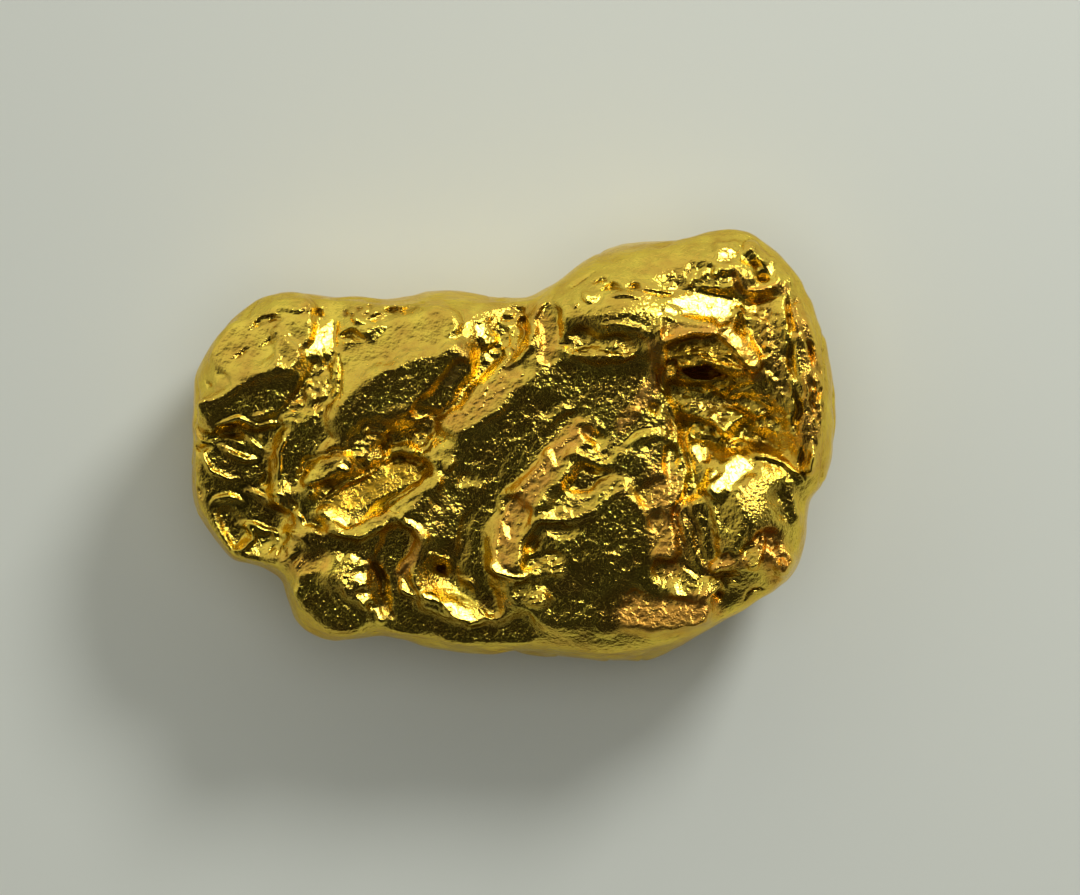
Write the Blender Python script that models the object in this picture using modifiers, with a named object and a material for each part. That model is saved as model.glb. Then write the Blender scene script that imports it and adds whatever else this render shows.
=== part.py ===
# A small nugget of native gold, one solid piece, lying on a worn flat.
# The nugget lies along X, with its broad relief side up. Its origin is under the middle of its
# box, on the surface that it rests on. Lengths in the tables below are in millimetres, seen from
# above, and the solid itself is in metres.

import math

import bmesh
import bpy
import numpy as np
from mathutils import Matrix

# Driving dimensions, in metres.
LENGTH = 0.0080
WIDTH = 0.00534
HEIGHT = 0.0029

MM = 0.001
CROWN_TOP = 2.63        # top of the plain body, without its relief, in mm
KEEL_BOTTOM = -0.12     # its lowest point, which the ground cuts off, in mm
KEEL_SQUARENESS = 2.3   # 2 would be an ellipse, and more is flatter with a tighter edge

SPHERE_SUBDIVISIONS = 6
EVEN_SPACING = 0.075    # of the mesh that takes the relief, in mm
SOFTENING = 0.5         # how far each pass moves a point towards its neighbours' middle
SOFTENING_PASSES = 6
FACES_KEPT = 9200
EDGE_BLEND = 0.35       # relief fades out over this distance from the outline, in mm

# Outline from above, clockwise from the left end.
OUTLINE = [
    (-4.00, 0.42), (-3.93, 0.94), (-3.68, 1.40), (-3.35, 1.70), (-2.98, 1.86), (-2.66, 1.90),
    (-2.34, 1.84), (-2.02, 1.87), (-1.68, 1.83), (-1.34, 1.83), (-0.83, 1.90), (-0.07, 1.84),
    (0.26, 1.88), (0.52, 2.04), (0.92, 2.28), (1.50, 2.48), (2.48, 2.65), (2.86, 2.64),
    (3.20, 2.45), (3.48, 2.15), (3.65, 1.82), (3.84, 1.38), (3.95, 0.93), (3.99, 0.43),
    (3.97, 0.02), (3.88, -0.48), (3.72, -0.60), (3.68, -0.90), (3.62, -1.27), (3.44, -1.64),
    (3.08, -1.97), (2.48, -2.31), (1.89, -2.56), (1.29, -2.67), (0.98, -2.67), (0.24, -2.57),
    (-0.31, -2.61), (-0.91, -2.57), (-1.57, -2.36), (-2.10, -2.43), (-2.42, -2.39), (-2.68, -2.21),
    (-2.81, -1.87), (-2.84, -1.60), (-2.98, -1.58), (-3.26, -1.46), (-3.40, -1.49), (-3.56, -1.39),
    (-3.79, -1.08), (-3.95, -0.78), (-4.01, -0.28), (-4.00, 0.07),
]

# How squarely the crown turns down at the rim, by compass angle in degrees from +X.
RIM_SQUARENESS = [
    (-180, 6.5), (-150, 6.0), (-115, 4.4), (-60, 4.2), (-20, 6.0),
    (20, 7.0), (50, 4.6), (90, 3.6), (140, 4.2),
]

# Height of the widest line round the nugget, in mm, by the same compass angle.
BELT_HEIGHTS = [
    (-180, 1.30), (-145, 1.58), (-110, 1.22), (-75, 1.46), (-35, 1.20),
    (5, 1.52), (45, 1.24), (85, 1.50), (130, 1.22),
]

# Dents in the walls below that line: compass angle, height, half length along the wall, half
# height and depth.
DENTS = {
    "left end": (176, 0.70, 0.60, 0.42, 0.16),
    "left shoulder": (150, 0.85, 0.50, 0.50, 0.14),
    "back, left": (118, 0.62, 0.70, 0.40, 0.20),
    "back, middle": (84, 0.80, 0.55, 0.48, 0.17),
    "back, right": (52, 0.66, 0.70, 0.38, 0.18),
    "right end": (14, 0.84, 0.75, 0.44, 0.16),
    "right, front": (-22, 0.62, 0.60, 0.40, 0.18),
    "front, right": (-56, 0.78, 0.65, 0.46, 0.15),
    "front, middle": (-92, 0.64, 0.60, 0.42, 0.20),
    "front, left": (-124, 0.74, 0.45, 0.52, 0.15),
}

# Broad swellings and hollows of the upper side: centre, half length, half width, turn in degrees,
# rise (or fall, if negative) and how flat the middle is.
SWELLINGS = {
    "upper left lobe": ((-3.05, 0.80), 1.00, 0.75, 15, 0.15, 0.0),
    "upper middle lobe": ((-1.35, 0.75), 1.25, 0.68, 24, 0.18, 0.0),
    "crest of the upper right": ((1.30, 1.55), 1.60, 0.72, 6, 0.30, 0.0),
    "knob at the upper right corner": ((2.62, 2.10), 0.62, 0.45, 0, 0.16, 0.0),
    "lower right lobe": ((2.85, -0.95), 0.85, 0.95, 0, 0.28, 0.0),
    "lobe inside the curved ridge": ((0.95, -0.90), 1.15, 1.05, 20, 0.10, 0.2),
    "foot at the lower left": ((-2.25, -1.85), 0.62, 0.60, -20, 0.14, 0.0),
    "small bump on the left": ((-2.25, -0.28), 0.42, 0.24, 18, 0.14, 0.0),
    "crumpled end": ((-3.30, -0.50), 0.95, 0.70, 100, -0.28, 0.3),
    "golden pocket": ((-1.65, -0.58), 0.78, 0.32, 26, -0.34, 0.2),
    "hollow behind the lower ridge": ((-0.80, -1.62), 0.58, 0.34, -30, -0.24, 0.0),
    "hollow in the curved ridge": ((0.92, -0.42), 0.40, 0.22, 18, -0.16, 0.0),
    "dimple below the crest": ((0.88, 1.30), 0.60, 0.28, -6, -0.16, 0.0),
    "rough basin": ((2.70, 0.25), 0.90, 0.50, -8, -0.40, 0.3),
    "amber bowl": ((3.35, -0.10), 0.38, 0.28, -20, -0.18, 0.0),
    "cavity": ((2.42, 0.98), 0.60, 0.33, -4, -0.78, 0.45),
}

# Ridges and valleys of the upper side: path, half width, rise (or fall, if negative).
FOLDS = {
    "valley beside the left lobe": ([(-2.30, 1.70), (-2.32, 1.20), (-2.50, 0.65), (-2.80, 0.30)],
                                    0.38, -0.24),
    "valley up to the top edge": ([(-1.55, -0.02), (-1.00, 0.20), (-0.62, 0.72), (-0.25, 1.15), (0.05, 1.62)],
                                  0.38, -0.24),
    "edge of the plateau": ([(0.30, 0.85), (0.00, 0.45), (-0.45, 0.20), (-0.95, -0.05)], 0.45, 0.10),
    "lip over the cavity": ([(1.80, 1.22), (2.10, 1.46), (2.60, 1.46), (2.98, 1.02)], 0.26, 0.20),
    "dip behind the lip": ([(1.95, 1.92), (2.45, 1.84), (2.95, 1.78), (3.30, 1.86)], 0.26, -0.14),
    "right hand rim": ([(3.25, 2.05), (3.48, 1.40), (3.58, 0.70), (3.68, 0.10), (3.72, -0.25)], 0.30, 0.16),
    "crevice by the basin": ([(1.90, 0.75), (2.12, 0.25), (2.30, -0.50)], 0.20, -0.16),
    "curved ridge": ([(0.75, 0.10), (0.42, -0.10), (0.14, -0.60), (-0.04, -1.10), (-0.04, -1.55),
                      (0.15, -1.90)], 0.28, 0.16),
    "valley outside the curved ridge": ([(0.35, 0.25), (-0.15, -0.40), (-0.42, -1.10), (-0.40, -1.80)],
                                        0.36, -0.10),
    "lower ridge": ([(-1.42, -1.78), (-0.95, -2.02), (-0.30, -2.30)], 0.26, 0.12),
    "pinkish ridge": ([(-1.12, -0.98), (-1.12, -1.25), (-1.32, -1.62)], 0.20, 0.10),
    "valley beside the foot": ([(-1.50, -1.15), (-1.60, -1.60), (-1.46, -2.20)], 0.28, -0.22),
    "front edge of the pocket": ([(-2.42, -0.82), (-2.05, -1.10), (-1.60, -1.02), (-1.00, -0.50)],
                                 0.26, 0.12),
    "valley behind the lower right lobe": ([(2.10, -0.60), (2.22, -1.20), (2.60, -1.80)], 0.26, -0.14),
    "fold at the left end": ([(-3.95, 0.02), (-3.55, 0.10), (-3.00, 0.12)], 0.22, -0.12),
}

# The underside has wide, shallow ones of its own, in the same form as the swellings. A fall here
# is a hollow, so it points up into the nugget.
UNDERSIDE = {
    "hollow under the left end": ((-2.70, 0.55), 0.90, 0.70, 30, -0.22, 0.0),
    "hollow under the right end": ((2.95, 0.60), 0.80, 0.90, 0, -0.20, 0.0),
    "groove under the foot": ((-1.60, -1.75), 0.40, 0.90, -15, -0.24, 0.0),
    "groove under the front": ((1.75, -1.90), 0.35, 0.70, 10, -0.20, 0.0),
    "swelling under the back": ((0.60, 1.55), 1.10, 0.60, 5, 0.14, 0.0),
    "swelling under the left end": ((-3.10, -0.65), 0.60, 0.55, 0, 0.16, 0.0),
}

GROUND_SIZE = 12 * MM
GROUND_DEPTH = 2 * MM

GOLD_COLOUR = (0.80, 0.52, 0.13, 1.0)
GOLD_ROUGHNESS = 0.24


def clear_scene():
    for old in list(bpy.data.objects):
        bpy.data.objects.remove(old, do_unlink=True)


def smooth_path(points, closed=False, steps=8):
    """Points along a Catmull-Rom curve through the given ones."""
    knots = np.array(points, float)
    count = len(knots)
    spans = count if closed else count - 1
    at = np.arange(spans)

    def knot(offset):
        index = (at + offset) % count if closed else np.clip(at + offset, 0, count - 1)
        return knots[index][:, None, :]

    before, start, end, after = knot(-1), knot(0), knot(1), knot(2)
    t = np.linspace(0, 1, steps, endpoint=False)[None, :, None]
    curve = start + 0.5 * t * (end - before + t * (2 * before - 5 * start + 4 * end - after
                                                   + t * (3 * (start - end) + after - before)))
    curve = curve.reshape(-1, 2)
    return curve if closed else np.vstack([curve, knots[-1]])


def distance_to_path(plan, path):
    """Shortest distance in plan from each point to the open path."""
    nearest = np.full(len(plan), np.inf)
    for start, end in zip(path[:-1], path[1:]):
        along = end - start
        share = np.clip((plan - start) @ along / max(along @ along, 1e-12), 0, 1)
        gap = plan - start - share[:, None] * along
        nearest = np.minimum(nearest, np.hypot(gap[:, 0], gap[:, 1]))
    return nearest


def rounded(reach, flat=0.0):
    """1 in the middle and 0 from reach 1 outwards, level at both ends."""
    t = np.clip((reach - flat) / (1 - flat), 0, 1)
    return (1 - t * t) ** 2


def swelling(plan, centre, half_length, half_width, turn, rise, flat):
    cosine, sine = math.cos(math.radians(turn)), math.sin(math.radians(turn))
    offset = plan - np.array(centre)
    along = (offset[:, 0] * cosine + offset[:, 1] * sine) / half_length
    across = (offset[:, 1] * cosine - offset[:, 0] * sine) / half_width
    return rise * rounded(np.hypot(along, across), flat)


def fold(plan, points, half_width, rise):
    return rise * rounded(distance_to_path(plan, smooth_path(points)) / half_width)


def outline_radius(angle):
    """Distance from the middle to the outline in each direction, in mm."""
    curve = smooth_path(OUTLINE, closed=True)
    heading = np.arctan2(curve[:, 1], curve[:, 0])
    order = np.argsort(heading)
    radius = np.hypot(curve[:, 0], curve[:, 1])[order]
    return np.interp(angle, heading[order], radius, period=2 * math.pi)


def round_the_rim(table, angle):
    """A value from a table by compass angle, going smoothly from one angle to the next."""
    headings, values = np.array(table, float).T
    degrees = np.degrees(angle)
    after = np.searchsorted(headings, degrees, side="right") % len(headings)
    before = after - 1
    gap = (headings[after] - headings[before]) % 360
    share = ((degrees - headings[before]) % 360) / gap
    share = share * share * (3 - 2 * share)
    return values[before] + share * (values[after] - values[before])


def plain_body(points):
    """Turns the points of a unit sphere into the nugget's body without relief, in mm."""
    angle = np.arctan2(points[:, 1], points[:, 0])
    spread = np.clip(np.hypot(points[:, 0], points[:, 1]), 0, 1)
    lift = np.clip(np.abs(points[:, 2]), 0, 1)
    above = points[:, 2] > 0
    squareness = np.where(above, round_the_rim(RIM_SQUARENESS, angle), KEEL_SQUARENESS)
    belt = round_the_rim(BELT_HEIGHTS, angle)
    reach = outline_radius(angle) * spread ** (2 / squareness)
    height = belt + np.where(above, CROWN_TOP - belt, KEEL_BOTTOM - belt) * lift ** (2 / squareness)
    for heading, middle, half_length, half_height, depth in DENTS.values():
        turn = (angle - math.radians(heading) + math.pi) % (2 * math.pi) - math.pi
        offset = np.hypot(turn * reach / half_length, (height - middle) / half_height)
        reach = reach - depth * rounded(offset)
    return np.column_stack([reach * np.cos(angle), reach * np.sin(angle), height])


def relief(points):
    """Height to add to each point of the body, in mm: the lobes, ridges, valleys and hollows."""
    plan = points[:, :2]
    angle = np.arctan2(plan[:, 1], plan[:, 0])
    inset = outline_radius(angle) - np.hypot(plan[:, 0], plan[:, 1])
    fade = np.clip(inset / EDGE_BLEND, 0, 1)
    fade = fade * fade * (3 - 2 * fade)
    over = sum(swelling(plan, *shape) for shape in SWELLINGS.values())
    over = over + sum(fold(plan, *shape) for shape in FOLDS.values())
    under = sum(swelling(plan, *shape) for shape in UNDERSIDE.values())
    return fade * np.where(points[:, 2] > round_the_rim(BELT_HEIGHTS, angle), over, -under)


def evaluated_mesh(thing):
    graph = bpy.context.evaluated_depsgraph_get()
    graph.update()
    shown = thing.evaluated_get(graph)
    return bpy.data.meshes.new_from_object(shown, depsgraph=graph, preserve_all_data_layers=False)


def read_points(mesh):
    points = np.empty(len(mesh.vertices) * 3, np.float32)
    mesh.vertices.foreach_get("co", points)
    return points.reshape(-1, 3).astype(float)


def write_points(mesh, points):
    mesh.vertices.foreach_set("co", points.astype(np.float32).ravel())
    mesh.update()


def bake_modifiers(thing):
    """Gives the object its evaluated mesh, and takes its modifiers off."""
    old = thing.data
    thing.data = evaluated_mesh(thing)
    thing.modifiers.clear()
    bpy.data.meshes.remove(old)


def make_nugget(collection):
    mesh = bpy.data.meshes.new("nugget")
    form = bmesh.new()
    bmesh.ops.create_icosphere(form, subdivisions=SPHERE_SUBDIVISIONS, radius=1)
    form.to_mesh(mesh)
    form.free()
    write_points(mesh, plain_body(read_points(mesh)))
    nugget = bpy.data.objects.new("nugget", mesh)
    collection.objects.link(nugget)

    # Even triangles all over, so that the relief is as fine everywhere. The mesh is in millimetres
    # until the end, because this modifier takes no spacing under 0.1 mm in metres.
    evening = nugget.modifiers.new("even spacing", "REMESH")
    evening.mode = "VOXEL"
    evening.voxel_size = EVEN_SPACING
    bake_modifiers(nugget)

    points = read_points(nugget.data)
    points[:, 2] += relief(points)
    write_points(nugget.data, points)

    softening = nugget.modifiers.new("soft edges", "SMOOTH")
    softening.factor = SOFTENING
    softening.iterations = SOFTENING_PASSES
    thinning = nugget.modifiers.new("fewer faces", "DECIMATE")
    thinning.ratio = FACES_KEPT / (2 * len(nugget.data.polygons))
    bake_modifiers(nugget)
    write_points(nugget.data, read_points(nugget.data) * MM)
    return nugget


def wear_flat(nugget, cutters):
    """Cuts off what is below the ground, which leaves the flat that the nugget rests on."""
    mesh = bpy.data.meshes.new("ground")
    form = bmesh.new()
    bmesh.ops.create_cube(form, size=1)
    form.to_mesh(mesh)
    form.free()
    ground = bpy.data.objects.new("ground", mesh)
    cutters.objects.link(ground)
    sized = Matrix.Diagonal((GROUND_SIZE, GROUND_SIZE, GROUND_DEPTH, 1))
    mesh.transform(Matrix.Translation((0, 0, -GROUND_DEPTH / 2)) @ sized)
    ground.hide_render = True
    ground.display_type = "WIRE"
    cut = nugget.modifiers.new("worn flat", "BOOLEAN")
    cut.operation = "DIFFERENCE"
    cut.object = ground
    bake_modifiers(nugget)


def fit_to_size(nugget):
    """Centres the nugget over the origin, at exactly its driving dimensions."""
    points = read_points(nugget.data)
    low, high = points.min(axis=0), points.max(axis=0)
    middle = (low + high) / 2
    middle[2] = low[2]
    write_points(nugget.data, (points - middle) * (LENGTH, WIDTH, HEIGHT) / (high - low))


def gold():
    material = bpy.data.materials.new("native gold")
    material.use_nodes = True
    shader = material.node_tree.nodes["Principled BSDF"]
    shader.inputs["Base Color"].default_value = GOLD_COLOUR
    shader.inputs["Metallic"].default_value = 1.0
    shader.inputs["Roughness"].default_value = GOLD_ROUGHNESS
    return material


def main():
    clear_scene()
    parts = bpy.data.collections.new("gold nugget")
    cutters = bpy.data.collections.new("cutters")
    bpy.context.scene.collection.children.link(parts)
    bpy.context.scene.collection.children.link(cutters)
    nugget = make_nugget(parts)
    wear_flat(nugget, cutters)
    fit_to_size(nugget)
    nugget.data.materials.append(gold())
    nugget.data.shade_smooth()


main()
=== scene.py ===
import math

import bmesh
import bpy
import numpy as np
from mathutils import Matrix, Vector, noise


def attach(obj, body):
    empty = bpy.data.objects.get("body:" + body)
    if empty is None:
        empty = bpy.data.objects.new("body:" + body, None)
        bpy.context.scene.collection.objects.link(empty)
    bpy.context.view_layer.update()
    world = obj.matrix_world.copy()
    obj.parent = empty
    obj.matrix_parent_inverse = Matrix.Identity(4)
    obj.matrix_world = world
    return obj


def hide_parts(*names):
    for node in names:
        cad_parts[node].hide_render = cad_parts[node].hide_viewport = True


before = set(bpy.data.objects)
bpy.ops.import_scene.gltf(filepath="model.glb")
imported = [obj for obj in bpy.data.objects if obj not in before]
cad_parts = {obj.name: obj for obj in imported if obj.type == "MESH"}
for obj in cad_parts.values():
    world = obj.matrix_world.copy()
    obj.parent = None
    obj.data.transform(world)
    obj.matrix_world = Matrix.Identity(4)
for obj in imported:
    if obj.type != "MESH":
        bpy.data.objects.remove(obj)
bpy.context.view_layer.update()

# A small nugget of native gold. Shape values are in millimetres, on the nugget seen from above.
mm = 0.001


def linearColour(hexColour):
    # sRGB hex to the linear values that the shaders take
    channels = [int(hexColour[start:start + 2], 16) / 255 for start in (0, 2, 4)]
    return [c / 12.92 if c <= 0.04045 else ((c + 0.055) / 1.055) ** 2.4 for c in channels] + [1.0]


def addNode(tree, kind, settings=None, inputs=None):
    # inputs maps a socket's name or number to a value or to another node's output
    node = tree.nodes.new(kind)
    for name, value in (settings or {}).items():
        setattr(node, name, value)
    for socket, value in (inputs or {}).items():
        if isinstance(value, bpy.types.NodeSocket):
            tree.links.new(value, node.inputs[socket])
        else:
            node.inputs[socket].default_value = value
    return node


nuggetBody = {
    "spacing": 0.028,        # of the fine mesh
    "weldDistance": 1e-4,
    "softening": 0.5,        # how far each pass moves a point towards its neighbours
    "softPasses": 46,        # rounds off the facets of the coarse solid
    "edgePasses": 2,         # takes the sharpness off the carved relief
    "trianglesKept": 196000,
    "undersideBelow": -0.2,  # faces that point up less than this are thinned most
    "sidesBelow": 0.3,
    "sideThinning": 0.6,
    "thinningBias": 10.0,
    "swellingsFrom": 1.6,    # height above which the wide corrections count
    "upwardFrom": 0.10,      # relief starts on faces that point up this much
    "upwardFull": 0.55,
    "waverSeed": 3,          # any whole number but 0, which gives another result in each run
    "fineWaver": 0.16,       # size of the irregularities in the strokes, and how far they reach
    "fineReach": 0.035,
    "broadWaver": 0.40,
    "broadReach": 0.10,
}

# Hollows in the walls and the underside, which the relief from above doesn't reach
wallRelief = {
    "dentSize": 0.85,
    "dentDepth": 0.20,
    "dentPlace": 3.1,        # a place is where in the noise a pattern is read
    "rippleSize": 0.30,
    "rippleDepth": 0.06,
    "ripplePlace": 17.7,
    "creaseSize": 0.90,
    "creaseWidth": 0.09,
    "creaseDepth": 0.07,
    "creasePlace": 41.3,
    "creaseSharpness": 1.5,
    "patchLevel": 0.3,       # creases come in patches
    "patchContrast": 2,
    "patchPlace": 59.9,
    "pitSpacing": 0.50,
    "pitDepth": 0.06,
    "pitWidth": 0.12,
    "pitWidthSpread": 0.26,
    "pitChance": 0.35,       # cells with a lower number have no pit
    "beltShare": 0.35,       # of the dents, on the widest line
    "sharpShare": 0.6,       # of the creases and pits, on the widest line
    "undersideTurn": 0.4,    # both are at their full depth on faces that point down this much
    "groundClearance": 0.10,
}

# Wide corrections of the form: centre, half length, half width, turn, rise, how flat the middle is
swellings = {
    "floor of the cavity": ((2.42, 1.00), 0.66, 0.36, -4, 0.64, 0.30),
}

# How the strokes below are shaped
strokes = {
    "planeTilt": 10,         # patches tilted less than this are single planes
    "planeLength": 4,        # and so are those shorter than this many half widths
    "planeCore": 0.35,       # share of the half width that has the wanted slope in full
    "stripCore": 0.45,
    "foldEnd": 0.06,         # how blunt the ends of ridges and grooves are
    "pebbleCore": 0.4,       # share of the half width where pebbles have their full height
    "pebbleMean": 0.4,       # height of pebbles against the given rise
    "pebbleSpread": 1.2,     # wide enough to make dents of a third of them
    "pebbleDome": 0.62,      # from middle to edge, in grains
    "pebbleSink": 0.5,       # the middles rise as much as the edges sink
    "cellKey": 9.7,          # turns the place of a cell into its own number
    "tintCore": 0.3,         # share of the half width where a patch of tint is at its full strength
}

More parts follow.
